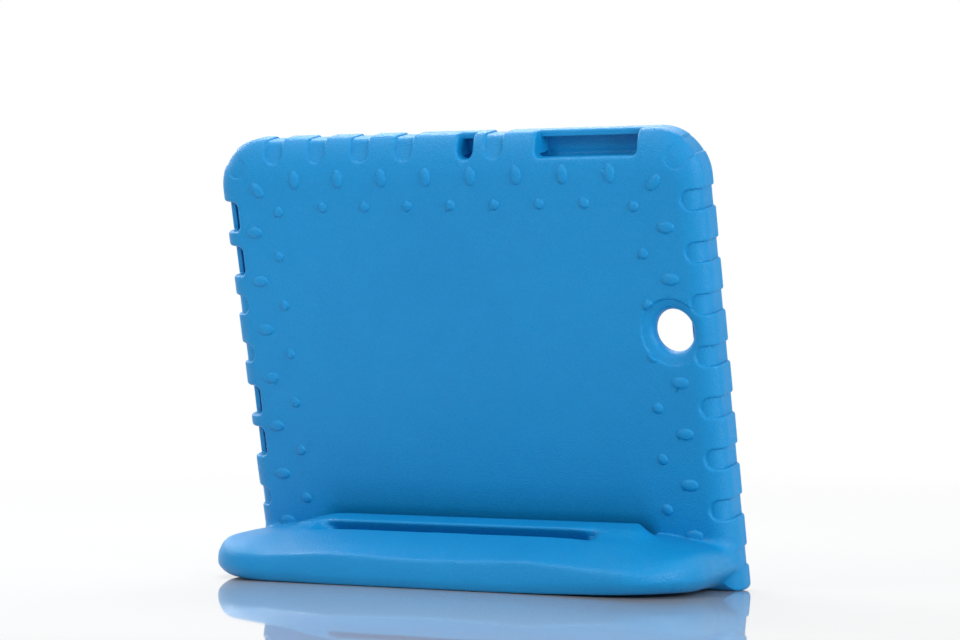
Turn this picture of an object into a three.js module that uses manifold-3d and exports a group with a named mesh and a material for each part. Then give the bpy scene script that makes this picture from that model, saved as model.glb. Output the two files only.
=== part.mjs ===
// Moulded foam tablet case with a carrying handle that is also its stand
// Millimetres, +Z up, the back of the case and the handle face -Y
// The case stands on a long edge and leans back over the handle
import * as THREE from "three";
import { mergeVertices } from "three/addons/utils/BufferGeometryUtils.js";
import Module from "manifold-3d";

const wasm = await Module();
wasm.setup();

// The tablet that the pocket holds
const tabletLength = 242.5;
const tabletWidth = 166.8;
const tabletThickness = 7.5;
const tabletGap = 0.5;
const tabletCorner = 8;

// Foam around the tablet
const sideWall = 11.25;
const topWall = 10.9;
const baseHeight = 42.3;
const backWall = 7;
const frontLip = 3;
const screenOverlap = 6;
const screenCorner = 4;

// Outer roundings of the case
const backRound = 10.5;
const frontRound = 3;
const topCorner = 24;
const bottomCorner = 3;

// How the case stands
const lean = THREE.MathUtils.degToRad(11.6);
const footHalfWidth = 4;

// Rows of raised bumps on the back
const topRowInset = 19.8;
const columnInset = 18.8;
const cornerRun = 45.5;
const lastRowHeight = 29;
const topBumpCount = 8;
const columnBumpCount = 7;
const innerTopInset = 13.7;
const innerColumnInset = 12.9;
const ovalBump = { length: 9, width: 5.4, height: 1.3 };
const roundBump = { length: 5, width: 5, height: 1.2 };

// Grip notches over the edges
const notchWidth = 9.4;
const notchDepth = 1.8;
const cornerNotchReach = 11;
const topNotchPlaces = [0.56, 1.56, 2.56, 3.56, 5.56];
const leftNotchPlaces = [2.5, 3.5, 6.5, 7.5];
const rightNotchPlaces = [0.5, 1.5, 2.5, 3.5, 4.5, 5.5, 6.5, 7.5];

// Cut-outs through the side walls for sockets and keys, with a bar left on the outside
const cutPast = 1.1;
const cutBarWidth = 3.3;
const cutBarDepth = 10.5;
const cutCorner = 3;
const sideCutHeight = 14.8;
const sideCutOffsets = [56.5, 35, -36, -57];
const smallCutPlace = 9.5;
const smallCutWidth = 8.6;
const keyCutPlace = 74.8;
const keyCutWidth = 54.2;

// Camera opening on the tablet's centre line
const cameraPlace = 111.8;
const cameraRadius = 9.75;
const cameraDishRadius = 14;
const cameraDishDepth = 5;

// Handle in plan, measured out from the foot of the back
const handleReach = 62.9;
const handleHalf = 132.8;
const handleCorner = 33;
const slotReach = 16.2;
const slotHalf = 92.6;
const slotCorner = 7;

// Lip and groove along the top of the handle
const lipHeight = 31.8;
const legLipHeight = 26.2;
const edgeHeight = 29.2;
const legEdgeHeight = 25.2;
const grooveDepth = 3.6;
const grooveRise = 1.2;
const grooveHalf = 80;
const grooveFade = 12;
const lipFalls = { left: [0.41, 0.6], right: [0.6, 0.8] };

// Heights of the handle from its middle, along 0, to where it meets the case, along 1
// The run is how far the underside curves in, and under is its height halfway
const handleKeys = [
  { along: 0, run: 4.5, under: 0, low: 4.5, face: 14.6, shoulder: 16.2, slope: 19.8, rim: 25.4 },
  { along: 0.28, run: 5, under: 0, low: 4.8, face: 15.2, shoulder: 16.8, slope: 20.2, rim: 25.4 },
  { along: 0.46, run: 9, under: 0.3, low: 5, face: 12.6, shoulder: 14.8, slope: 18.8, rim: 24.6 },
  { along: 0.66, run: 22, under: 1.4, low: 5.5, face: 12.8, shoulder: 18.7, slope: 21.1, rim: 23.6 },
  { along: 0.85, run: 18, under: 2, low: 6.5, face: 14, shoulder: 19.5, slope: 21.7, rim: 24 },
  { along: 1, run: 14, under: 6.5, low: 10.5, face: 16, shoulder: 20.2, slope: 22.3, rim: 24.2 },
];

// Finger hollow in the back behind the handle
const hollowDepth = 3.6;
const hollowHalf = 96;
const hollowTop = 37;
const hollowCorner = 16;

// Fineness of curves
const cornerSteps = 7;
const edgeSteps = 5;
const circleSteps = 40;

const pocketLength = tabletLength + 2 * tabletGap;
const pocketWidth = tabletWidth + 2 * tabletGap;
const pocketDepth = tabletThickness + tabletGap;
const halfLength = pocketLength / 2 + sideWall;
const caseHeight = baseHeight + pocketWidth + topWall;
const caseDepth = backWall + pocketDepth + frontLip;
const pocketCentre = baseHeight + pocketWidth / 2;
const topPitch = (2 * halfLength - 2 * cornerRun) / (topBumpCount - 1);
const columnPitch = (caseHeight - cornerRun - lastRowHeight) / (columnBumpCount - 1);
const sideReach = sideWall + cutPast;
const topReach = topWall + cutPast;
const past = 2;

// Turns a three.js geometry into a solid that can be cut and joined
function solidOf(geometry, matrix = new THREE.Matrix4()) {
  const bare = new THREE.BufferGeometry();
  bare.setAttribute("position", geometry.getAttribute("position").clone());
  bare.setIndex(geometry.getIndex() ?? [...Array(geometry.getAttribute("position").count).keys()]);
  bare.applyMatrix4(matrix);
  const merged = mergeVertices(bare, 1e-4);
  const corners = merged.getIndex().array;
  const kept = [];
  for (let i = 0; i < corners.length; i += 3) {
    const [a, b, c] = corners.slice(i, i + 3);
    if (a !== b && b !== c && c !== a) {
      kept.push(a, b, c);
    }
  }
  return new wasm.Manifold(
    new wasm.Mesh({
      numProp: 3,
      vertProperties: Float32Array.from(merged.getAttribute("position").array),
      triVerts: Uint32Array.from(kept),
    }),
  );
}

function joinAll(solids) {
  return solids.reduce((sum, solid) => sum.add(solid));
}

// Closed skin over a row of rings that all have the same number of points
function skinOver(rings) {
  const count = rings[0].length;
  const positions = rings.flat().flatMap((p) => [p.x, p.y, p.z]);
  const index = [];
  for (let r = 0; r + 1 < rings.length; r++) {
    for (let i = 0; i < count; i++) {
      const a = r * count + i;
      const b = r * count + ((i + 1) % count);
      index.push(a, b, b + count, a, b + count, a + count);
    }
  }
  const flatten = (ring) => {
    const across = new THREE.Vector3().subVectors(ring[1], ring[0]).normalize();
    const area = new THREE.Vector3();
    ring.forEach((p, i) => area.add(new THREE.Vector3().crossVectors(p, ring[(i + 1) % count])));
    const up = new THREE.Vector3().crossVectors(area.normalize(), across);
    return ring.map((p) => new THREE.Vector2(p.dot(across), p.dot(up)));
  };
  const first = THREE.ShapeUtils.triangulateShape(flatten(rings[0]), []);
  first.forEach(([a, b, c]) => index.push(c, b, a));
  const start = (rings.length - 1) * count;
  const last = THREE.ShapeUtils.triangulateShape(flatten(rings.at(-1)), []);
  last.forEach(([a, b, c]) => index.push(start + a, start + b, start + c));
  const geometry = new THREE.BufferGeometry();
  geometry.setAttribute("position", new THREE.Float32BufferAttribute(positions, 3));
  geometry.setIndex(index);
  return geometry;
}

// Rounded rectangle as a ring of points at one depth, seen from the back
function roundedRing(half, low, high, lowRadius, highRadius, depth) {
  const ring = [];
  const corners = [
    [half, low, lowRadius, -90],
    [half, high, highRadius, 0],
    [-half, high, highRadius, 90],
    [-half, low, lowRadius, 180],
  ];
  for (const [x, z, radius, startAngle] of corners) {
    const centreX = x - Math.sign(x) * radius;
    const centreZ = z === low ? low + radius : high - radius;
    for (let i = 0; i <= cornerSteps; i++) {
      const angle = THREE.MathUtils.degToRad(startAngle + (90 * i) / cornerSteps);
      ring.push(
        new THREE.Vector3(centreX + radius * Math.cos(angle), depth, centreZ + radius * Math.sin(angle)),
      );
    }
  }
  return ring;
}

// Case outline drawn in by an inset, at one depth from the back
function caseRing(inset, depth) {
  const low = Math.max(bottomCorner - inset, 0.6);
  const high = Math.max(topCorner - inset, 0.6);
  return roundedRing(halfLength - inset, inset, caseHeight - inset, low, high, depth);
}

// Case block with a large back rounding, a given amount smaller all round
function caseBlock(inset, frontRings) {
  const rings = [];
  for (let i = 0; i <= edgeSteps; i++) {
    const angle = (Math.PI / 2) * (i / edgeSteps);
    const radius = backRound - inset;
    rings.push(caseRing(backRound - radius * Math.sin(angle), backRound - radius * Math.cos(angle)));
  }
  return solidOf(skinOver([...rings, ...frontRings].reverse()));
}

function outerBlock() {
  const front = [];
  for (let i = 0; i <= 2; i++) {
    const angle = (Math.PI / 4) * i;
    front.push(
      caseRing(
        frontRound * (1 - Math.cos(angle)),
        caseDepth - frontRound * (1 - Math.sin(angle)),
      ),
    );
  }
  return caseBlock(0, front);
}

// Straight prism from a shape drawn on the back, from one depth to another
function prism(shape, fromDepth, toDepth) {
  const options = { depth: toDepth - fromDepth, bevelEnabled: false, curveSegments: 6 };
  const stand = new THREE.Matrix4().makeRotationX(Math.PI / 2);
  const place = new THREE.Matrix4().makeTranslation(0, toDepth, 0);
  return solidOf(new THREE.ExtrudeGeometry(shape, options), place.multiply(stand));
}

// Tongue that comes in from an edge and ends in round corners
function tongue(width, reach, radius, start = past) {
  const shape = new THREE.Shape();
  const half = width / 2;
  shape.moveTo(-half, start);
  shape.lineTo(-half, radius - reach);
  shape.absarc(radius - half, radius - reach, radius, Math.PI, 1.5 * Math.PI, false);
  shape.absarc(half - radius, radius - reach, radius, 1.5 * Math.PI, 2 * Math.PI, false);
  shape.lineTo(half, start);
  shape.closePath();
  return shape;
}

// Tongue turned and moved to its place on an edge
function edgeCutter(shape, x, z, turn, fromDepth, toDepth) {
  const radians = THREE.MathUtils.degToRad(turn);
  const points = shape.extractPoints(6).shape;
  const origin = new THREE.Vector2();
  const shift = new THREE.Vector2(x, z);
  const placed = points.map((p) => p.clone().rotateAround(origin, radians).add(shift));
  return prism(new THREE.Shape(placed), fromDepth, toDepth);
}

function topBumpX(place) {
  return (place - (topBumpCount + 1) / 2) * topPitch;
}

function columnBumpZ(place) {
  return caseHeight - cornerRun - (place - 1) * columnPitch;
}

function notchCutters() {
  const shape = tongue(notchWidth, sideReach, notchWidth / 2);
  const cut = (x, z, turn) => edgeCutter(shape, x, z, turn, -past, caseDepth + past);
  const cutters = [
    ...topNotchPlaces.map((place) => cut(topBumpX(place), caseHeight, 0)),
    ...rightNotchPlaces.map((place) => cut(halfLength, columnBumpZ(place), -90)),
    ...leftNotchPlaces.map((place) => cut(-halfLength, columnBumpZ(place), 90)),
  ];
  const corner = tongue(notchWidth, cornerNotchReach, notchWidth / 2);
  const cornerBack = topCorner * (1 - Math.SQRT1_2);
  for (const side of [-1, 1]) {
    const x = side * (halfLength - cornerBack);
    cutters.push(
      edgeCutter(corner, x, caseHeight - cornerBack, side * -45, -past, caseDepth + past),
    );
  }
  return joinAll(cutters);
}

// One cut-out, deep beside the tablet and shallow over the bar at its outside
function wallCut(width, reach, radius, x, z, turn) {
  const whole = tongue(width, reach, radius);
  const inner = tongue(width, reach, radius, -cutBarWidth);
  const shallow = edgeCutter(whole, x, z, turn, -past, cutBarDepth);
  return shallow.add(edgeCutter(inner, x, z, turn, -past, caseDepth - frontLip));
}

function wallCutters() {
  const cutters = sideCutOffsets.map((offset) => {
    return wallCut(sideCutHeight, sideReach, cutCorner, -halfLength, pocketCentre + offset, 90);
  });
  cutters.push(wallCut(smallCutWidth, topReach, smallCutWidth / 2, smallCutPlace, caseHeight, 0));
  cutters.push(wallCut(keyCutWidth, topReach, cutCorner, keyCutPlace, caseHeight, 0));
  return joinAll(cutters);
}

// Tablet pocket and the screen opening in front of it
function pocketCutter() {
  const ring = (half, high, radius, depth) => {
    return roundedRing(half, pocketCentre - high, pocketCentre + high, radius, radius, depth);
  };
  const pocketFront = caseDepth - frontLip;
  const pocket = skinOver([
    ring(pocketLength / 2, pocketWidth / 2, tabletCorner, pocketFront),
    ring(pocketLength / 2, pocketWidth / 2, tabletCorner, backWall),
  ]);
  const screenHalf = tabletLength / 2 - screenOverlap;
  const screenHigh = tabletWidth / 2 - screenOverlap;
  const screen = skinOver([
    ring(screenHalf + past, screenHigh + past, screenCorner + past, caseDepth + past),
    ring(screenHalf, screenHigh, screenCorner, pocketFront - past),
  ]);
  return solidOf(pocket).add(solidOf(screen));
}

// Camera opening with a dished rim
function cameraCutter() {
  const profile = [new THREE.Vector2(0, -past), new THREE.Vector2(cameraDishRadius + 1, -past)];
  const rimSteps = 5;
  for (let i = 0; i <= rimSteps; i++) {
    const angle = (Math.PI / 2) * (i / rimSteps);
    const radius = cameraDishRadius - (cameraDishRadius - cameraRadius) * Math.sin(angle);
    profile.push(new THREE.Vector2(radius, cameraDishDepth * (1 - Math.cos(angle))));
  }
  profile.push(new THREE.Vector2(cameraRadius, backWall + past), new THREE.Vector2(0, backWall + past));
  const place = new THREE.Matrix4().makeTranslation(cameraPlace, 0, pocketCentre);
  return solidOf(new THREE.LatheGeometry(profile, circleSteps), place);
}

// One raised bump, long across or along the edge
function bump(size, x, z, turn) {
  const matrix = new THREE.Matrix4().makeTranslation(x, 0, z);
  matrix.multiply(new THREE.Matrix4().makeRotationY(THREE.MathUtils.degToRad(turn)));
  matrix.multiply(new THREE.Matrix4().makeScale(size.width / 2, size.height, size.length / 2));
  return solidOf(new THREE.SphereGeometry(1, 10, 6), matrix);
}

function bumps() {
  const solids = [];
  const topZ = caseHeight - topRowInset;
  const columnX = halfLength - columnInset;
  for (let place = 1; place <= topBumpCount; place++) {
    solids.push(bump(ovalBump, topBumpX(place), topZ, 0));
  }
  for (let place = 1; place < topBumpCount; place++) {
    solids.push(bump(roundBump, topBumpX(place + 0.5), topZ - innerTopInset, 0));
  }
  for (const side of [-1, 1]) {
    for (let place = 1; place <= columnBumpCount; place++) {
      const z = columnBumpZ(place);
      if (side < 0 || Math.abs(z - pocketCentre) > cameraDishRadius + ovalBump.width / 2) {
        solids.push(bump(ovalBump, side * columnX, z, 90));
      }
    }
    for (let place = 0.5; place < columnBumpCount; place++) {
      solids.push(bump(roundBump, side * (columnX - innerColumnInset), columnBumpZ(place), 0));
    }
    const cornerIn = topCorner * 0.96;
    solids.push(bump(ovalBump, side * (halfLength - cornerIn), caseHeight - cornerIn, side * 45));
  }
  return joinAll(solids);
}

// Soft-edged hollow in the back that gives fingers room behind the handle
function hollowCutter() {
  const ring = (inset, depth) => {
    const high = hollowTop - inset;
    const radius = Math.max(hollowCorner - inset, 1);
    return roundedRing(hollowHalf - inset, -past, high, 0.5, radius, depth);
  };
  const rings = [ring(-past, -past)];
  for (let i = 0; i <= 3; i++) {
    const angle = (Math.PI / 2) * (i / 3);
    const inset = hollowDepth * (1 - Math.cos(angle));
    rings.push(ring(inset, hollowDepth * Math.sin(angle)));
  }
  return solidOf(skinOver(rings.reverse()));
}

// Case with all its cuts, upright, back face in the plane of X and Z
function uprightCase() {
  const outer = outerBlock();
  const core = caseBlock(notchDepth, [caseRing(notchDepth, caseDepth + past)]);
  const grooves = notchCutters().subtract(core);
  return outer
    .subtract(grooves)
    .add(bumps())
    .subtract(pocketCutter())
    .subtract(wallCutters())
    .subtract(cameraCutter())
    .subtract(hollowCutter());
}

function smooth(low, high, value) {
  return THREE.MathUtils.smoothstep(value, low, high);
}

// Heights at one place along the handle, between the two nearest keys
function keyAt(along) {
  const next = handleKeys.findIndex((key) => key.along >= along);
  const after = handleKeys[next < 0 ? handleKeys.length - 1 : next];
  const before = handleKeys[Math.max(handleKeys.indexOf(after) - 1, 0)];
  const share = before === after ? 0 : (along - before.along) / (after.along - before.along);
  const between = (name) => THREE.MathUtils.lerp(before[name], after[name], share);
  return Object.fromEntries(Object.keys(after).map((name) => [name, between(name)]));
}

// One section of the handle bar between its inner and outer edges in plan
function handleSection(inner, outer, along, falls) {
  const width = inner.distanceTo(outer);
  const { run, under, low, face, shoulder, slope, rim } = keyAt(along);
  const raised = 1 - smooth(falls[0], falls[1], along);
  const middleX = inner.x * 0.6 + outer.x * 0.4;
  const groove = 1 - smooth(grooveHalf - grooveFade, grooveHalf, middleX);
  const lip = THREE.MathUtils.lerp(legLipHeight, lipHeight, raised);
  const edge = THREE.MathUtils.lerp(legEdgeHeight, edgeHeight, raised);
  const farFloor = THREE.MathUtils.lerp(edge + (rim - edge) * 0.36, rim - grooveDepth, groove);
  const nearFloor = THREE.MathUtils.lerp(edge + (rim - edge) * 0.86, rim - grooveDepth + grooveRise, groove);
  const points = [
    [3, 0],
    [width - run, 0],
    [width - run * 0.55, under * 0.35],
    [width - run * 0.2 - 1, under],
    [width - 0.25, low],
    [width, (low + face) / 2],
    [width - 0.5, face],
    [width - 3.6, shoulder],
    [width - 11, slope],
    [width * 0.47, rim],
    [width * 0.455, nearFloor],
    [width * 0.4, farFloor],
    [width * 0.36, edge],
    [5, lip],
    [1.8, lip - 0.6],
    [0.2, lip - 4],
    [0, lip * 0.4],
    [0.4, 2.2],
  ];
  return points.map(([across, height]) => {
    const plan = inner.clone().lerp(outer, across / width);
    return new THREE.Vector3(plan.x, -plan.y, height);
  });
}

// Half of the handle's plan, from the middle round the corner into the case
function handleStations() {
  const stations = [];
  const innerStraight = slotHalf - slotCorner;
  const outerStraight = handleHalf - handleCorner;
  for (const share of [0, 0.4, 0.7, 0.78, 0.83, 0.87, 0.92, 1]) {
    const inner = new THREE.Vector2(innerStraight * share, slotReach);
    const outer = new THREE.Vector2(outerStraight * share, handleReach);
    stations.push([inner, outer, share * 0.5]);
  }
  for (let i = 1; i <= 8; i++) {
    const angle = (Math.PI / 2) * (i / 8);
    const turn = new THREE.Vector2(Math.sin(angle), Math.cos(angle));
    const inner = turn.clone().multiplyScalar(slotCorner);
    inner.add(new THREE.Vector2(innerStraight, slotReach - slotCorner));
    const outer = turn.clone().multiplyScalar(handleCorner);
    outer.add(new THREE.Vector2(outerStraight, handleReach - handleCorner));
    stations.push([inner, outer, 0.5 + 0.35 * (i / 8)]);
  }
  const buried = -backRound * 0.8;
  for (const share of [0.5, 1]) {
    const inner = new THREE.Vector2(slotHalf, 0);
    inner.y = THREE.MathUtils.lerp(slotReach - slotCorner, buried, share);
    const outer = new THREE.Vector2(handleHalf, 0);
    outer.y = THREE.MathUtils.lerp(handleReach - handleCorner, buried, share);
    stations.push([inner, outer, 0.85 + 0.15 * share]);
  }
  return stations;
}

function handleBar() {
  const rings = (falls) => {
    return handleStations().map(([inner, outer, along]) => handleSection(inner, outer, along, falls));
  };
  const right = rings(lipFalls.right);
  const left = rings(lipFalls.left).slice(1);
  const mirrored = left.map((ring) => ring.map((p) => new THREE.Vector3(-p.x, p.y, p.z)));
  return solidOf(skinOver([...right.reverse(), ...mirrored]));
}

// Leans the case back over the handle and trims a flat foot at floor level
function standingCase() {
  const sink = backRound - Math.sqrt(backRound ** 2 - footHalfWidth ** 2);
  const lift = backRound * (Math.cos(lean) + Math.sin(lean) - 1) + sink;
  const tilt = new THREE.Matrix4().makeRotationX(lean).setPosition(0, 0, -lift);
  const floor = new THREE.BoxGeometry(4 * halfLength, 4 * halfLength, halfLength);
  const under = new THREE.Matrix4().makeTranslation(0, 0, -halfLength / 2);
  const tilted = uprightCase().transform(tilt.elements);
  return tilted.add(handleBar()).subtract(solidOf(floor, under));
}

function geometryOf(solid) {
  const mesh = solid.getMesh();
  const geometry = new THREE.BufferGeometry();
  geometry.setAttribute("position", new THREE.BufferAttribute(mesh.vertProperties, 3));
  geometry.setIndex(new THREE.BufferAttribute(mesh.triVerts, 1));
  geometry.computeBoundingBox();
  const box = geometry.boundingBox;
  const centre = box.getCenter(new THREE.Vector3());
  geometry.translate(-centre.x, -centre.y, -box.min.z);
  geometry.computeVertexNormals();
  return geometry;
}

const foam = new THREE.MeshStandardMaterial({ color: 0x258cc8, roughness: 0.55, metalness: 0 });
const tabletCase = new THREE.Mesh(geometryOf(standingCase()), foam);
tabletCase.name = "tablet_case";

const group = new THREE.Group();
group.add(tabletCase);
export default group;
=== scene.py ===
import math

import bpy
import numpy as np
import openvdb
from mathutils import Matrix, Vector


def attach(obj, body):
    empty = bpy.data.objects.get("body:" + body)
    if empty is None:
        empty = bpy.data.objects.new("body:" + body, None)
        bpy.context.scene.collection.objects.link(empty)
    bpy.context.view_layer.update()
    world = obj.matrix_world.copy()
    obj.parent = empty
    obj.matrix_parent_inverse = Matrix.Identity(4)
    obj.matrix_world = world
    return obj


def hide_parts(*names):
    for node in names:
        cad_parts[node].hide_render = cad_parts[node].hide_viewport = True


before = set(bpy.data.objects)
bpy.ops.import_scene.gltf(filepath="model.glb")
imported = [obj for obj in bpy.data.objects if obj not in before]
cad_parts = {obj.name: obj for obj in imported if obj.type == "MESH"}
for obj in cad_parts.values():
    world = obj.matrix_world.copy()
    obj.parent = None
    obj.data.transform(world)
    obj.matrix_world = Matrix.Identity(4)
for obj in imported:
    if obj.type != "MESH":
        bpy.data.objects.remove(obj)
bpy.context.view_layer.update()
scene = bpy.context.scene

# Lengths are in millimetres in the frame of the upright case until the mesh is made:
# x to the right seen from the back, u up the back, w from the back to the screen side.
HALF = 133.0
HEIGHT = 221.0
DEPTH = 18.0
CORNER, FOOT_CORNER = 24, 3
SCREEN_EDGE_ROUND = 3
# The upper left edge stands out a little further than the rest of that side
LEFT_BULGE, BULGE_STARTS, BULGE_FULL, BULGE_SHARE = 1.0, 90, 200, 0.85

LEAN = math.radians(11.6)
BACK_ROUND = 10.5
FOOT_FLAT = 4
FOOT_SINK = BACK_ROUND - math.sqrt(BACK_ROUND ** 2 - FOOT_FLAT ** 2)
LIFT = BACK_ROUND * (math.cos(LEAN) + math.sin(LEAN) - 1) + FOOT_SINK
HANDLE_REACH = 62.9
DEPTH_AS_IT_STANDS = 79.929
Y_SHIFT = HANDLE_REACH - DEPTH_AS_IT_STANDS / 2

# Pocket and screen opening
CENTRE = 126.2
BACK_WALL, POCKET_FRONT = 7, 15.0
POCKET_HALF, POCKET_REACH, POCKET_CORNER = 121.75, 83.9, 8
SCREEN_HALF, SCREEN_REACH, SCREEN_CORNER = 115.25, 77.4, 4
POCKET_SOFTNESS, SCREEN_OVERLAP = 0.9, 2

# Places of the raised bumps: numbered from the left along the top, from the top down the sides
FIRST_BUMP = 45.5
LOWEST_BUMP = 29
TOP_PITCH = (2 * HALF - 2 * FIRST_BUMP) / 7
COLUMN_PITCH = (HEIGHT - FIRST_BUMP - LOWEST_BUMP) / 6


def top_x(place):
    return (place - 4.5) * TOP_PITCH


def column_u(place):
    return HEIGHT - FIRST_BUMP - (place - 1) * COLUMN_PITCH


# Joining and cutting of distance fields, which are negative inside the foam
def soft_max(a, b, k):
    h = np.maximum(k - np.abs(a - b), 0) / k
    return np.maximum(a, b) + h * h * k / 4


def soft_min(a, b, k):
    return -soft_max(-a, -b, k)


def round_and(a, b, r):
    """Both at once, with the edge between them rounded to a radius."""
    return np.minimum(-r, np.maximum(a, b)) + np.hypot(np.maximum(a + r, 0), np.maximum(b + r, 0))


def rect(x, u, half, low, high, r_low, r_high):
    middle, reach = (low + high) / 2, (high - low) / 2
    r = np.where(u > middle, r_high, r_low)
    qx = np.abs(x) - half + r
    qu = np.abs(u - middle) - reach + r
    inside = np.minimum(np.maximum(qx, qu), 0)
    return inside + np.hypot(np.maximum(qx, 0), np.maximum(qu, 0)) - r


def tongue(across, inward, width, reach, r):
    """Slot of a width that comes in from an edge and ends in rounded corners."""
    qa = np.abs(across) - width / 2 + r
    qi = inward - reach + r
    inside = np.minimum(np.maximum(qa, qi), 0)
    return inside + np.hypot(np.maximum(qa, 0), np.maximum(qi, 0)) - r


def nearest(value, places):
    return np.min([np.abs(value - p) for p in places], axis=0)


def smooth(low, high, value):
    t = np.clip((value - low) / (high - low), 0, 1)
    return t * t * (3 - 2 * t)


# Rounding of the back edge: a quarter ellipse, wider along the top than down the sides.
# Beside the handle it is a plain quarter circle.
ROUND_STARTS, ROUND_FULL = 20, 60
ROUND_WIDER, ROUND_WIDER_AT_TOP, ROUND_SHALLOWER = 1.5, 10, 3


def corner_share(x, u):
    """0 beside the sides, 1 under the top, between them round the top corners."""
    up = np.maximum(u - HEIGHT + CORNER, 0)
    out = np.maximum(np.abs(x) - HALF + CORNER, 0)
    return np.arctan2(up, out) / (math.pi / 2)


def edge_rounding(outline, x, u, w):
    full = smooth(ROUND_STARTS, ROUND_FULL, u)
    along = BACK_ROUND + ROUND_WIDER * full + ROUND_WIDER_AT_TOP * corner_share(x, u) * full
    deep = BACK_ROUND - ROUND_SHALLOWER * full
    p = np.maximum(outline + along, 0) / along
    q = np.maximum(deep - w, 0) / deep
    g = np.hypot(p, q)
    slope = np.maximum(np.hypot(p / along, q / deep), 1e-3)
    near_ellipse = g > 0.3
    return np.where(near_ellipse, (g - 1) * g / slope, np.maximum(outline, -w))


# Grip notches over the edges
NOTCH_WIDTH, NOTCH_END = 9.4, 4.7
TOP_NOTCHES = [top_x(p) for p in (0.51, 1.51, 2.51, 3.51, 5.51)]
RIGHT_NOTCHES = [column_u(p + 0.5) for p in range(8)]
LEFT_NOTCHES = [column_u(p) for p in (2.5, 3.5, 6.5, 7.5)]
TOP_NOTCH_REACH, SIDE_NOTCH_REACH, CORNER_NOTCH_REACH = 11.7, 10, 12.5
CORNER_NOTCH_SHIFT = 1.5
NOTCH_SOFTNESS = 1.3
# Floor of the notches: a slanted facet with a step in from the side
FLOOR_SOFTNESS = 2
SIDE_FLOOR, SIDE_STEP, SIDE_FACET, SIDE_FACET_SCALE = 1.5, 1.8, 7.4, 0.707
TOP_FLOOR, TOP_STEP, TOP_FACET = 1.7, 1.1, 12
TOP_FACET_SLOPE, TOP_FACET_SCALE = 0.34, 0.947
LESS_DEEP_AT_CORNERS = 1


def notch_field(x, u):
    def notch(across, inward, reach):
        return tongue(across, inward, NOTCH_WIDTH, reach, NOTCH_END)

    top = notch(nearest(x, TOP_NOTCHES), HEIGHT - u, TOP_NOTCH_REACH)
    side = np.minimum(
        notch(nearest(u, RIGHT_NOTCHES), HALF - x, SIDE_NOTCH_REACH),
        notch(nearest(u, LEFT_NOTCHES), HALF + x, SIDE_NOTCH_REACH),
    )
    back = CORNER * (1 - math.sqrt(0.5))
    dx, du = np.abs(x) - HALF + back, u - HEIGHT + back
    across = (dx - du) * math.sqrt(0.5) - CORNER_NOTCH_SHIFT
    corner = notch(across, -(dx + du) * math.sqrt(0.5), CORNER_NOTCH_REACH)
    return np.minimum(np.minimum(top, side), corner)


def notch_floor(outline, x, u, w):
    """Positive where the notch is open above its floor; a little less deep at the corners."""
    inward = -outline
    share = corner_share(x, u)
    side_facet = (SIDE_FACET - inward - w) * SIDE_FACET_SCALE
    side = soft_max(SIDE_FLOOR - w, side_facet, FLOOR_SOFTNESS)
    side = soft_max(side, SIDE_STEP - inward, FLOOR_SOFTNESS)
    top_facet = (TOP_FLOOR + TOP_FACET_SLOPE * (TOP_FACET - inward) - w) * TOP_FACET_SCALE
    top = soft_max(top_facet, TOP_STEP - inward, FLOOR_SOFTNESS)
    at_corner = 4 * share * (1 - share)
    return side * (1 - share) + top * share - LESS_DEEP_AT_CORNERS * at_corner


# Cut-outs through the side walls, with a bar left along the screen side
SIDE_CUTS = [CENTRE + offset for offset in (57, 34.7, -36, -57)]
SIDE_CUT_WIDTH, SIDE_CUT_REACH, CUT_CORNER = 14.8, 10.2, 3
KEY_PLACE, KEY_WIDTH, TOP_CUT_REACH = 74.8, 54.2, 12
SMALL_PLACE, SMALL_WIDTH, SMALL_CORNER = 9.5, 8.6, 4.3
BAR, BAR_BACK = 3.3, 9.8
CUT_SOFTNESS = 1.8


def wall_cut_field(x, u, w):
    side = tongue(nearest(u, SIDE_CUTS), HALF + x, SIDE_CUT_WIDTH, SIDE_CUT_REACH, CUT_CORNER)
    key = tongue(x - KEY_PLACE, HEIGHT - u, KEY_WIDTH, TOP_CUT_REACH, CUT_CORNER)
    small = tongue(x - SMALL_PLACE, HEIGHT - u, SMALL_WIDTH, TOP_CUT_REACH, SMALL_CORNER)
    shape = np.minimum(np.minimum(side, key), small)
    behind_bar = BAR + rect(x, u, HALF, 0, HEIGHT, FOOT_CORNER, CORNER)
    shallow = np.maximum(shape, w - BAR_BACK)
    deep = np.maximum(np.maximum(shape, w - POCKET_FRONT), behind_bar)
    return np.minimum(shallow, deep)


# Raised bumps: an outer row of ovals and an inner row of rounds
OVAL = (9, 5.4, 1.15)
ROUND = (5, 5, 1.1)
BUMP_CROWN = 0.42
BUMPS_FADE = 4
# Distances of the rows from the edge that they follow
TOP_OVALS_IN, TOP_ROUNDS_IN = 19.8, 33.5
SIDE_OVALS_IN, SIDE_ROUNDS_IN = 18.8, 31.7
CORNER_OVAL_IN, CORNER_OVAL_DOWN = 23, 24.5
TOP_ROUNDS_SPREAD = 0.97
CORNER_ROUND_IN, CORNER_ROUND_DOWN = 2.7, 0.8 * 2.7


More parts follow.
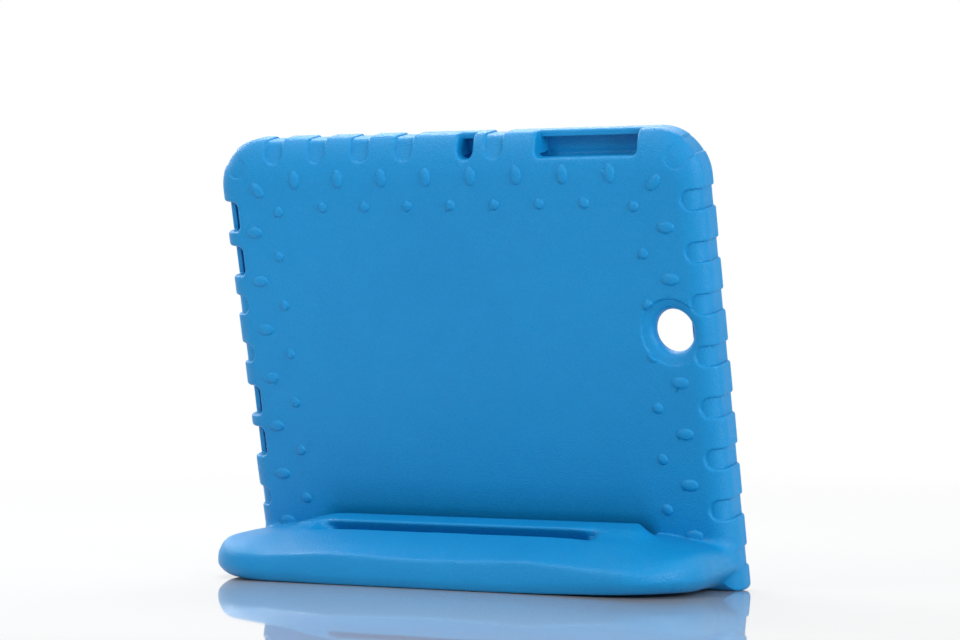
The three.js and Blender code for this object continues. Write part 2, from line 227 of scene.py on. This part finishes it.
def bump_list():
    """x, u, turn in degrees, length, width and height of each bump."""
    bumps = []
    for place in range(1, 9):
        bumps.append((top_x(place), HEIGHT - TOP_OVALS_IN, 0, *OVAL))
    for place in range(1, 8):
        bump_x = TOP_ROUNDS_SPREAD * top_x(place + 0.5)
        bumps.append((bump_x, HEIGHT - TOP_ROUNDS_IN, 0, *ROUND))
    for side in (-1, 1):
        for place in range(1, 8):
            at_camera_dish = side > 0 and place == 3
            if not at_camera_dish:
                bumps.append((side * (HALF - SIDE_OVALS_IN), column_u(place), 90, *OVAL))
        for place in range(7):
            moved_in, moved_down = (0, 0) if place else (CORNER_ROUND_IN, CORNER_ROUND_DOWN)
            bump_x = side * (HALF - SIDE_ROUNDS_IN - moved_in)
            bumps.append((bump_x, column_u(place + 0.5) - moved_down, 0, *ROUND))
        bump_x = side * (HALF - CORNER_OVAL_IN)
        bumps.append((bump_x, HEIGHT - CORNER_OVAL_DOWN, side * 45, *OVAL))
    return bumps


BUMPS = bump_list()


def bump_height(x, u):
    height = np.zeros(np.broadcast(x, u).shape)
    for bx, bu, turn, length, width, top in BUMPS:
        t = math.radians(turn)
        dx, du = x - bx, u - bu
        along = dx * math.sin(t) + du * math.cos(t)
        across = dx * math.cos(t) - du * math.sin(t)
        r = (2 * along / length) ** 2 + (2 * across / width) ** 2
        height = np.maximum(height, top * np.maximum(1 - r, 0) ** BUMP_CROWN)
    return height


# Handle bar: sections at stations along its plan, each a closed outline with rounded corners.
# Keys give values at places along the bar, from 0 at the middle to 1 at the case: how far in
# from the outer face the foot begins, the heights of the outline's points and the roundness
# of two of its corners. The right half differs from the left.
KEYS = {
    "along": [0, 0.28, 0.46, 0.6, 0.7, 0.85, 1],
    "foot": [5.5, 5.5, 9, 18, 21, 18, 14],
    "turn": [1.6, 1.6, 3, 7, 9, 9, 9],
    "under": [0, 0, 0.3, 1.1, 1.5, 2.0, 6.5],
    "low": [3.4, 3.6, 4.4, 5.2, 5.7, 6.5, 10.5],
    "face": [13.7, 15, 12.6, 12.7, 13.1, 14, 16],
    "crease": [1.3, 1.3, 1.7, 2.2, 3, 5, 9],
    "shoulder": [15.3, 16.6, 14.8, 17, 18.8, 19.5, 20.2],
    "slope": [19.2, 20, 18.8, 20.2, 21.2, 21.7, 22.3],
    "rim": [25.4, 25.4, 24.6, 23.9, 23.7, 24, 24.2],
}
RIGHT_KEYS = {
    **KEYS,
    "face": [13.7, 15, 11.8, 10.2, 11.6, 14, 16],
    "crease": [1.3, 1.3, 1.6, 2.4, 7, 9, 9],
    "shoulder": [15.3, 16.6, 14, 13.2, 16.6, 19.5, 20.2],
    "slope": [19.2, 20, 18.4, 18.2, 20, 21.7, 22.3],
}
# The lip and its front edge are high in the middle and fall to the ends between two places
LIP, LIP_AT_ENDS = 31.8, 26.2
LIP_EDGE, LIP_EDGE_AT_ENDS = 29.2, 25.2
FALLS = {-1: (0.41, 0.6), 1: (0.6, 0.8)}
GROOVE_HALF, GROOVE_FADE = 80, 12
# Sides of the groove as shares of the section's width, and its depth under the rim
GROOVE_FAR, GROOVE_NEAR, GROOVE_UNDERCUT = 0.362, 0.47, 0.17
GROOVE_DEEP, GROOVE_SHALLOW = 5, 4.5
# Past the groove's ends: how much wider its place is, where its floor rises to and how soft it is
PLAIN_FAR, PLAIN_NEAR, PLAIN_FLOOR = 0.06, 0.03, 0.04
PLAIN_RISE_FAR, PLAIN_RISE_NEAR = 0.3, 0.8
PLAIN_SOFTER, PLAIN_SOFTER_EDGE = 5, 4
SLOT_REACH, SLOT_HALF, SLOT_CORNER = 16.2, 92.6, 7
HANDLE_HALF, HANDLE_CORNER = 132.8, 33
BURIED = -8.4
CORNER_FROM, CORNER_TO = 0.5, 0.85
STRAIGHT_STEPS, CORNER_STEPS = 23, 14


def stations():
    """Inner and outer end of each section in plan, and its place along the bar."""
    rows = []
    for share in np.linspace(0, 1, STRAIGHT_STEPS):
        inner = ((SLOT_HALF - SLOT_CORNER) * share, SLOT_REACH)
        outer = ((HANDLE_HALF - HANDLE_CORNER) * share, HANDLE_REACH)
        rows.append((inner, outer, share * CORNER_FROM))

    def on_corner(half, reach, radius, angle):
        return half - radius * (1 - math.sin(angle)), reach - radius * (1 - math.cos(angle))

    for i in range(1, CORNER_STEPS + 1):
        angle = math.pi / 2 * i / CORNER_STEPS
        inner = on_corner(SLOT_HALF, SLOT_REACH, SLOT_CORNER, angle)
        outer = on_corner(HANDLE_HALF, HANDLE_REACH, HANDLE_CORNER, angle)
        rows.append((inner, outer, CORNER_FROM + (CORNER_TO - CORNER_FROM) * i / CORNER_STEPS))
    for share in (0.25, 0.5, 0.75, 1):
        start, end = SLOT_REACH - SLOT_CORNER, HANDLE_REACH - HANDLE_CORNER
        inner = (SLOT_HALF, start + (BURIED - start) * share)
        outer = (HANDLE_HALF, end + (BURIED - end) * share)
        rows.append((inner, outer, CORNER_TO + (1 - CORNER_TO) * share))
    return (np.array(column) for column in zip(*rows))


INNER, OUTER, ALONG = stations()
WIDTH = np.hypot(*(OUTER - INNER).T)


def section(side, i):
    """Corners of a section: distance from its inner end, height and size of the rounding."""
    along, w = ALONG[i], WIDTH[i]
    keys = KEYS if side < 0 else RIGHT_KEYS
    key = {name: np.interp(along, keys["along"], values) for name, values in keys.items()}
    middle = abs(INNER[i, 0] * 0.6 + OUTER[i, 0] * 0.4)
    raised = 1 - smooth(*FALLS[side], along)
    groove = 1 - smooth(GROOVE_HALF - GROOVE_FADE, GROOVE_HALF, middle)
    plain = 1 - groove
    lip = LIP_AT_ENDS + (LIP - LIP_AT_ENDS) * raised
    edge = LIP_EDGE_AT_ENDS + (LIP_EDGE - LIP_EDGE_AT_ENDS) * raised
    rim = key["rim"]
    far, near = GROOVE_FAR - PLAIN_FAR * plain, GROOVE_NEAR + PLAIN_NEAR * plain
    flat_far = edge + (rim - edge) * PLAIN_RISE_FAR
    flat_near = edge + (rim - edge) * PLAIN_RISE_NEAR
    floor_far = flat_far + (rim - GROOVE_DEEP - flat_far) * groove
    floor_near = flat_near + (rim - GROOVE_SHALLOW - flat_near) * groove
    under_lip = far + PLAIN_FLOOR * plain - GROOVE_UNDERCUT * groove
    softer = PLAIN_SOFTER * plain
    foot, under, low = key["foot"], key["under"], key["low"]
    return [
        # underside
        (3, 0, 2),
        (w - foot, 0, 3),
        (w - foot * 0.55, under * 0.35, 9),
        (w - foot * 0.2 - 1, under, 9),
        # outer face and ridge line
        (w - 0.25, low, key["turn"]),
        (w, (low + key["face"]) / 2, 9),
        (w - 0.5, key["face"], key["crease"]),
        (w - 3.6, key["shoulder"], 9),
        (w - 11, key["slope"], 9),
        # groove, undercut below the lip
        (w * near, rim, 0.6 + softer),
        (w * (near - 0.02 - PLAIN_FLOOR * plain), floor_near, 0.8 + softer),
        (w * under_lip, floor_far, 0.8 + softer),
        (w * far, edge, 2.4 + PLAIN_SOFTER_EDGE * plain),
        # lip and the wall of the slot
        (5, lip, 3),
        (1.2, lip - 0.4, 1.6),
        (0.2, lip - 4, 4),
        (0, lip * 0.4, 9),
        (0.4, 2.2, 3),
    ]


def rounded(points):
    """Closed outline with each corner replaced by a short curve of the given size."""
    curve = []
    count = len(points)
    for i in range(count):
        before, corner, after = (
            np.array(points[(i + j) % count][:2], float) for j in (-1, 0, 1)
        )
        size = points[i][2]
        start = corner + (before - corner) * min(0.5, size / np.hypot(*(before - corner)))
        stop = corner + (after - corner) * min(0.5, size / np.hypot(*(after - corner)))
        for t in np.linspace(0, 1, 5):
            curve.append(start * (1 - t) ** 2 + corner * 2 * t * (1 - t) + stop * t ** 2)
    return np.array(curve)


# Distance to each section's outline, kept in a table over the section's plane
STEP = 0.6
ACROSS = np.arange(-7, 62, STEP)
UP = np.arange(-7, 42, STEP)


def outline_distance(curve):
    px, pz = np.meshgrid(ACROSS, UP, indexing="ij")
    best = np.full(px.shape, 1e9)
    inside = np.zeros(px.shape, bool)
    for a, b in zip(curve, np.roll(curve, -1, axis=0)):
        d = b - a
        length = d @ d
        if length < 1e-9:
            continue
        t = np.clip(((px - a[0]) * d[0] + (pz - a[1]) * d[1]) / length, 0, 1)
        best = np.minimum(best, (px - a[0] - t * d[0]) ** 2 + (pz - a[1] - t * d[1]) ** 2)
        crosses = (a[1] > pz) != (b[1] > pz)
        if crosses.any():
            rise = d[1] if d[1] else 1e-9
            inside ^= crosses & (px < a[0] + (pz - a[1]) * d[0] / rise)
    return np.where(inside, -1, 1) * np.sqrt(best)


def section_table(side):
    outlines = [rounded(section(side, i)) for i in range(len(ALONG))]
    return np.array([outline_distance(curve) for curve in outlines], np.float32)


TABLES = {side: section_table(side) for side in (-1, 1)}
PLAN_STEP = 1.0
PLAN_X = np.arange(0, 146, PLAN_STEP)
PLAN_REACH = np.arange(-22, 74, PLAN_STEP)


def plan_tables():
    """For each place in plan: the fractional number of the section there, and where in it."""
    x, r = np.meshgrid(PLAN_X, PLAN_REACH, indexing="ij")
    direction = (OUTER - INNER) / WIDTH[:, None]
    from_x, from_r = x[..., None] - INNER[:, 0], r[..., None] - INNER[:, 1]
    side = from_x * direction[:, 1] - from_r * direction[:, 0]
    place = np.zeros(x.shape)
    done = np.zeros(x.shape, bool)
    for i in range(len(ALONG) - 1):
        a, b = side[..., i], side[..., i + 1]
        here = (a >= 0) & (b < 0) & ~done
        place[here] = i + (a / np.where(a - b == 0, 1, a - b))[here]
        done |= here
    place[~done & (side[..., -1] >= 0)] = len(ALONG) - 1
    low = np.minimum(place.astype(int), len(ALONG) - 2)
    t = place - low

    def between(values):
        return values[low] * (1 - t) + values[low + 1] * t

    across = (x - between(INNER[:, 0])) * between(direction[:, 0])
    across = across + (r - between(INNER[:, 1])) * between(direction[:, 1])
    return np.stack([place, across])


PLAN = plan_tables()


def sample(table, *coordinates):
    """Linear interpolation in a table at fractional indices."""
    low, share = [], []
    for axis, c in enumerate(coordinates):
        c = np.clip(c, 0, table.shape[axis] - 1.001)
        low.append(c.astype(np.int32))
        share.append((c - low[-1]).astype(np.float32))
    total = 0
    for corner in np.ndindex(*(2,) * len(coordinates)):
        weight = 1
        index = []
        for axis, bit in enumerate(corner):
            weight = weight * (share[axis] if bit else 1 - share[axis])
            index.append(low[axis] + bit)
        total = total + weight * table[tuple(index)]
    return total


# The underside is bowed a little at the right
UNDERSIDE_BOW, BOW_FROM, BOW_FULL = 0.9, 30, 100
BOW_FADES, BOW_ENDS = 10, 20


def height_above_floor(u, w):
    return w * math.sin(LEAN) + u * math.cos(LEAN) - LIFT


def handle_field(x, u, w):
    x, u, w = np.broadcast_arrays(x, u, w)
    reach = u * math.sin(LEAN) - w * math.cos(LEAN)
    z = height_above_floor(u, w)
    plan_x = np.abs(x) - PLAN_X[0]
    plan_reach = reach - PLAN_REACH[0]
    place = sample(PLAN[0], plan_x, plan_reach)
    across = (sample(PLAN[1], plan_x, plan_reach) - ACROSS[0]) / STEP
    bow = UNDERSIDE_BOW * smooth(BOW_FROM, BOW_FULL, x) * (1 - smooth(BOW_FADES, BOW_ENDS, z))
    up = (z - bow - UP[0]) / STEP
    left, right = (sample(TABLES[side], place, across, up) for side in (-1, 1))
    return np.maximum(np.where(x < 0, left, right), BURIED - reach)


# Camera opening through the back wall, in a shallow dish
CAMERA_PLACE = 111.8
CAMERA_RADIUS, CAMERA_ROUND, CAMERA_STOP = 10.2, 2.6, 9
DISH_RADIUS, DISH_DEPTH, DISH_SLOPE, DISH_SOFTNESS = 15.4, 0.7, 0.3, 1.4


def camera_cut(field, x, u, w):
    radius = np.hypot(x - CAMERA_PLACE, u - CENTRE)
    dish_floor = w - DISH_DEPTH - DISH_SLOPE * (DISH_RADIUS - radius)
    dish = np.maximum(radius - DISH_RADIUS, dish_floor)
    field = soft_max(field, -dish, DISH_SOFTNESS)
    keep = np.minimum(CAMERA_RADIUS - radius, CAMERA_STOP - w)
    return round_and(field, keep, CAMERA_ROUND)


# Hollow in the back behind the finger slot: a cove low down and a wide shallow part above it
COVE_DEPTH, COVE_TOP, COVE_HEIGHT = 2.8, 38.5, 9
WIDE_DEPTH, WIDE_FROM, WIDE_TO = 1.2, 32, 54
HOLLOW_FULL, HOLLOW_HALF = 82, 97


def finger_hollow(x, u):
    cove = COVE_DEPTH * np.clip((COVE_TOP - u) / COVE_HEIGHT, 0, 1) ** 2
    wide = WIDE_DEPTH * (1 - smooth(WIDE_FROM, WIDE_TO, u))
    return (cove + wide) * (1 - smooth(HOLLOW_FULL, HOLLOW_HALF, np.abs(x)))


def case_field(x, u, w):
    x = x + LEFT_BULGE * smooth(BULGE_STARTS, BULGE_FULL, u) * smooth(BULGE_SHARE, 1, -x / HALF)
    outline = rect(x, u, HALF, 0, HEIGHT, FOOT_CORNER, CORNER)
    screen_edge = round_and(outline, w - DEPTH, SCREEN_EDGE_ROUND)
    outer = np.maximum(edge_rounding(outline, x, u, w), screen_edge)
    notch = np.maximum(notch_field(x, u), -notch_floor(outline, x, u, w))
    field = soft_max(outer, -notch, NOTCH_SOFTNESS)
    field = field - bump_height(x, u) * np.clip((BUMPS_FADE - w) / BUMPS_FADE, 0, 1)
    hollow = finger_hollow(x, u)
    field = np.where(hollow > 0.01, np.maximum(field, hollow - w), field)
    field = camera_cut(field, x, u, w)
    field = soft_max(field, -wall_cut_field(x, u, w), CUT_SOFTNESS)

    def opening(half, reach, corner):
        return rect(x, u, half, CENTRE - reach, CENTRE + reach, corner, corner)

    pocket_middle, pocket_depth = (BACK_WALL + POCKET_FRONT) / 2, POCKET_FRONT - BACK_WALL
    pocket = np.maximum(
        opening(POCKET_HALF, POCKET_REACH, POCKET_CORNER),
        np.abs(w - pocket_middle) - pocket_depth / 2,
    )
    screen = np.maximum(
        opening(SCREEN_HALF, SCREEN_REACH, SCREEN_CORNER),
        POCKET_FRONT - SCREEN_OVERLAP - w,
    )
    return soft_max(field, -np.minimum(pocket, screen), POCKET_SOFTNESS)


# Fillet between handle and case: wider at the ends, but at the lower right a crease stays
FILLET, WIDE_FILLET = 1.2, 4
WIDENS_FROM, WIDEST_FROM = 112, 126
CREASE_UP_TO, CREASE_GONE = 8, 18
FOOT_SOFTNESS = 0.8


def foam_field(x, u, w, with_handle=True):
    field = case_field(x, u, w)
    z = height_above_floor(u, w)
    if with_handle:
        wide = smooth(WIDENS_FROM, WIDEST_FROM, np.abs(x))
        wide = wide * np.maximum(x < 0, smooth(CREASE_UP_TO, CREASE_GONE, z))
        field = soft_min(field, handle_field(x, u, w), FILLET + WIDE_FILLET * wide)
    return soft_max(field, -z, FOOT_SOFTNESS)


# Mesh of the surface of the field
CELL = 0.6
BAND = 2.4
ADAPTIVITY = 0.02
BUMPS_REACH = 4
HANDLE_TOP = 46
HANDLE_BACK = 68
MARGIN = 3


def fine_mesh():
    """Points of the surface, with triangles and quads. The handle is left out above its top."""
    xs = np.arange(-HALF - MARGIN, HALF + MARGIN, CELL)
    us = np.arange(-2 * MARGIN, HEIGHT + MARGIN, CELL)
    ws = np.arange(-HANDLE_BACK, DEPTH + MARGIN, CELL)
    grid = np.full((len(xs), len(us), len(ws)), BAND, np.float32)
    slab = np.searchsorted(ws, -BUMPS_REACH)
    low = np.searchsorted(us, HANDLE_TOP)
    for part_u, part_w, with_handle in (
        (slice(0, low), slice(0, slab), True),
        (slice(0, low), slice(slab, None), True),
        (slice(low, None), slice(slab, None), False),
    ):
        u, w = us[part_u], ws[part_w]
        field = foam_field(
            xs[:, None, None], u[None, :, None], w[None, None, :], with_handle
        )
        grid[:, part_u, part_w] = np.clip(field, -BAND, BAND)
    volume = openvdb.FloatGrid(BAND)
    volume.copyFromArray(grid, tolerance=0)
    points, triangles, quads = volume.convertToPolygons(isovalue=0, adaptivity=ADAPTIVITY)
    points = points.astype(float) * CELL + np.array([xs[0], us[0], ws[0]])
    return points, triangles, quads


def gradient(p, e=0.15):
    columns = []
    for axis in range(3):
        step = np.zeros(3)
        step[axis] = e
        columns.append((foam_field(*(p + step).T) - foam_field(*(p - step).T)) / (2 * e))
    return np.stack(columns, 1)


def onto_surface(points):
    """Two Newton steps towards the surface."""
    for _ in range(2):
        d = foam_field(*points.T)
        g = gradient(points)
        move = np.clip(d / np.maximum((g ** 2).sum(1), 0.3), -0.5, 0.5)
        points = points - g * move[:, None]
    return points


def leaned(vectors):
    """Vectors of the upright case in the frame of the case as it stands."""
    x, u, w = vectors.T
    c, s = math.cos(LEAN), math.sin(LEAN)
    return np.stack([x, w * c - u * s, w * s + u * c], 1)


points, triangles, quads = fine_mesh()
points = onto_surface(points)
normals = leaned(gradient(points))
normals /= np.linalg.norm(normals, axis=1, keepdims=True)
world_points = (leaned(points) + np.array([0, Y_SHIFT, -LIFT])) / 1000
world_points[:, 2] = np.maximum(world_points[:, 2], 0)

LEANING = math.cos(math.radians(9))
WIDE_FACE = 0.9e-6


def corner_normals(mesh, smooth_normals):
    """The field's own normals, but the plain face normal in wide flat faces beside an edge."""

    def read(items, name, kind, width=1):
        values = np.zeros(width * len(items), kind)
        items.foreach_get(name, values)
        return values

    totals = read(mesh.polygons, "loop_total", np.int32)
    flat = read(mesh.polygons, "normal", np.float32, 3)
    area = read(mesh.polygons, "area", np.float32)
    corners = read(mesh.loops, "vertex_index", np.int32)
    face = np.repeat(np.arange(len(totals)), totals)
    chosen = smooth_normals[corners]
    plain = flat.reshape(-1, 3)[face]
    leaning = (chosen * plain).sum(1) < LEANING
    wide = area[face] > WIDE_FACE
    chosen[leaning & wide] = plain[leaning & wide]
    return chosen


mesh = bpy.data.meshes.new("moulded_case")
faces = [tuple(map(int, f[::-1])) for kind in (quads, triangles) for f in kind]
mesh.from_pydata(world_points.tolist(), [], faces)
mesh.validate()
mesh.shade_smooth()
mesh.normals_split_custom_set(corner_normals(mesh, normals).tolist())
case = bpy.data.objects.new("moulded_case", mesh)
scene.collection.objects.link(case)
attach(case, "root")
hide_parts("tablet_case")

# Camera at the photograph's viewing angle
CAMERA_YAW, CAMERA_PITCH = math.radians(30.759), math.radians(-0.272)
camera = bpy.data.objects.new("camera", bpy.data.cameras.new("camera"))
scene.collection.objects.link(camera)
scene.camera = camera
camera.location = (0.8558, -1.425, 0.1343)
camera.rotation_euler = (math.pi / 2 + CAMERA_PITCH, 0, CAMERA_YAW)
camera.data.sensor_width = 36
camera.data.lens = 130.07
camera.data.clip_end = 20

scene.view_settings.view_transform = "Standard"


# Materials
def connect(material, node, name, value):
    """Feed a socket, given by name or number, from another socket or with a plain value."""
    socket = node.inputs[int(name)] if name.isdigit() else node.inputs[name]
    if isinstance(value, bpy.types.NodeSocket):
        material.node_tree.links.new(value, socket)
    else:
        socket.default_value = value


def add(material, kind, **inputs):
    """New node of a kind, with values for its sockets: numbers, or the sockets that feed them."""
    node = material.node_tree.nodes.new("ShaderNode" + kind)
    for name, value in inputs.items():
        connect(material, node, name.replace("_", " "), value)
    return node


def math_node(material, operation, a, b=0.0):
    node = add(material, "Math")
    node.operation = operation
    connect(material, node, "0", a)
    connect(material, node, "1", b)
    return node.outputs[0]


def weighted(material, a, a_share, b, b_share):
    return math_node(
        material, "ADD",
        math_node(material, "MULTIPLY", a, a_share),
        math_node(material, "MULTIPLY", b, b_share),
    )


def remap(material, value, low, high, to_low, to_high):
    node = add(material, "MapRange", Value=value)
    limits = {"From Min": low, "From Max": high, "To Min": to_low, "To Max": to_high}
    for name, number in limits.items():
        node.inputs[name].default_value = number
    return node.outputs["Result"]


def color_mix(material, factor, first, second):
    """Mix of two colours, each a plain value or the socket that feeds it."""
    node = add(material, "Mix", Factor=factor)
    node.data_type = "RGBA"
    numbers = [i for i, socket in enumerate(node.inputs) if socket.type == "RGBA"]
    connect(material, node, str(numbers[0]), first)
    connect(material, node, str(numbers[1]), second)
    return next(socket for socket in node.outputs if socket.type == "RGBA")


GRAIN_SCALE, FINE_GRAIN_SCALE, WOBBLE_SCALE = 1050.0, 1500.0, 700.0
GRAIN_WOBBLE = 0.0007
GRAIN_DEPTH = 0.00015
FOAM_DARKER = (0.0025, 0.238, 0.550, 1)
FOAM_LIGHTER = (0.0035, 0.262, 0.590, 1)
# Painted shade: a darker blue laid into the creases of the grain, where shade would fall
CREASE_PAINTED_SHADE = (0.001, 0.10, 0.32, 1)
CREASE_WIDTH, CREASE_PAINTED_SHADE_SHARE, CREASE_DULLER = 0.32, 0.16, 0.06
CLOUD_SCALE, FINE_CLOUD_SCALE, GLOSS_SCALE = 9.0, 70.0, 45.0
GLOSSIEST, DULLEST = 0.29, 0.38


def foam_material():
    """Moulded foam: a satin skin with a fine leathery grain, painted shade darkening the grain's
    creases, and faint cloudy shading.
    """
    material = bpy.data.materials.new("foam")
    material.use_nodes = True
    shader = material.node_tree.nodes["Principled BSDF"]
    place = add(material, "TexCoord").outputs["Object"]

    def noise(scale, detail, output="Fac"):
        node = add(material, "TexNoise", Vector=place, Scale=scale, Detail=detail)
        return node.outputs[output]

    shift = add(material, "VectorMath")
    shift.operation = "MULTIPLY_ADD"
    connect(material, shift, "0", noise(WOBBLE_SCALE, 1.0, "Color"))
    connect(material, shift, "1", (GRAIN_WOBBLE,) * 3)
    connect(material, shift, "2", place)
    cells = add(material, "TexVoronoi", Vector=shift.outputs[0], Scale=GRAIN_SCALE)
    cells.feature = "DISTANCE_TO_EDGE"
    crease = remap(material, cells.outputs["Distance"], 0.0, CREASE_WIDTH, 0.0, 1.0)
    grain = weighted(material, crease, 0.6, noise(FINE_GRAIN_SCALE, 2.0), 0.7)
    bump = add(material, "Bump", Height=grain, Strength=1.0, Distance=GRAIN_DEPTH)
    connect(material, shader, "Normal", bump.outputs[0])

    cloud = weighted(material, noise(CLOUD_SCALE, 3.0), 0.7, noise(FINE_CLOUD_SCALE, 2.0), 0.3)
    cloud = remap(material, cloud, 0.3, 0.7, 0.0, 1.0)
    tone = color_mix(material, cloud, FOAM_DARKER, FOAM_LIGHTER)
    # Painted shade: the grain's creases are darkened in colour, besides their bump and dullness
    painted_crease_shade = remap(material, crease, 0.0, 0.5, CREASE_PAINTED_SHADE_SHARE, 0.0)
    connect(material, shader, "Base Color", color_mix(material, painted_crease_shade, tone, CREASE_PAINTED_SHADE))
    satin = remap(material, noise(GLOSS_SCALE, 3.0), 0.3, 0.7, GLOSSIEST, DULLEST)
    duller = remap(material, crease, 0.0, 1.0, CREASE_DULLER, 0.0)
    connect(material, shader, "Roughness", math_node(material, "ADD", satin, duller))
    shader.inputs["Specular IOR Level"].default_value = 0.27
    return material


FADE_FROM, FADE_TO = 0.45, 1.1


def floor_material():
    """White glossy table top that shows a faint mirror image and fades to plain white far away."""
    material = bpy.data.materials.new("floor")
    material.use_nodes = True
    shader = material.node_tree.nodes["Principled BSDF"]
    output = material.node_tree.nodes["Material Output"]
    shader.inputs["Base Color"].default_value = (0.56, 0.57, 0.58, 1)
    shader.inputs["Roughness"].default_value = 0.03
    shader.inputs["Specular IOR Level"].default_value = 0.5
    shader.inputs["Coat Weight"].default_value = 0.45
    shader.inputs["Coat Roughness"].default_value = 0.03
    length = add(material, "VectorMath")
    length.operation = "LENGTH"
    connect(material, length, "0", add(material, "TexCoord").outputs["Object"])
    far = remap(material, length.outputs["Value"], FADE_FROM, FADE_TO, 0.0, 1.0)
    seen = add(material, "LightPath").outputs["Is Camera Ray"]
    white = add(material, "Emission", Color=(1, 1, 1, 1), Strength=1.0)
    mix = add(material, "MixShader", Fac=math_node(material, "MULTIPLY", far, seen))
    connect(material, mix, "1", shader.outputs[0])
    connect(material, mix, "2", white.outputs[0])
    connect(material, output, "Surface", mix.outputs[0])
    return material


mesh.materials.append(foam_material())

# Light
WORLD_LIGHT, WORLD_SEEN = 0.62, 1.0
LAMPS = {  # place, aim, size, watts
    "overhead": ((-0.27, -0.1, 0.7), (0, -0.03, 0.2), (0.45, 0.22), 1.1),
    "behind": ((-0.3, 0.45, 0.85), (0, -0.02, 0.21), (0.5, 0.3), 5.5),
    "front": ((-0.35, -0.8, 0.75), (0, 0, 0.14), (0.35, 0.3), 3.0),
    "left": ((-1.1, 0.35, 0.7), (0, 0, 0.05), (0.4, 0.4), 5),
    "right": ((1.4, -0.5, 0.5), (0, 0, 0.1), (0.6, 0.8), 13.5),
}


def studio_world():
    """Soft even light, and plain white where the camera or a reflection looks past the case."""
    world = bpy.data.worlds.new("world")
    scene.world = world
    world.use_nodes = True
    paths = add(world, "LightPath").outputs
    seen = math_node(world, "MAXIMUM", paths["Is Camera Ray"], paths["Is Glossy Ray"])
    seen = math_node(world, "MAXIMUM", seen, paths["Is Transmission Ray"])
    background = world.node_tree.nodes["Background"]
    background.inputs["Color"].default_value = (1, 1, 1, 1)
    strength = remap(world, seen, 0.0, 1.0, WORLD_LIGHT, WORLD_SEEN)
    connect(world, background, "Strength", strength)


def area_light(name, place, aim, size, watts):
    data = bpy.data.lights.new(name, "AREA")
    data.energy = watts
    data.shape = "RECTANGLE"
    data.size, data.size_y = size
    lamp = bpy.data.objects.new(name, data)
    lamp.location = place
    lamp.rotation_euler = (Vector(place) - Vector(aim)).to_track_quat("Z", "Y").to_euler()
    scene.collection.objects.link(lamp)


studio_world()
for name, settings in LAMPS.items():
    area_light(name, *settings)

FLOOR_HALF = 9
floor_corners = [
    (-FLOOR_HALF, -FLOOR_HALF, 0),
    (FLOOR_HALF, -FLOOR_HALF, 0),
    (FLOOR_HALF, FLOOR_HALF, 0),
    (-FLOOR_HALF, FLOOR_HALF, 0),
]
floor_mesh = bpy.data.meshes.new("floor")
floor_mesh.from_pydata(floor_corners, [], [(0, 1, 2, 3)])
floor_mesh.materials.append(floor_material())
floor = bpy.data.objects.new("floor", floor_mesh)
scene.collection.objects.link(floor)
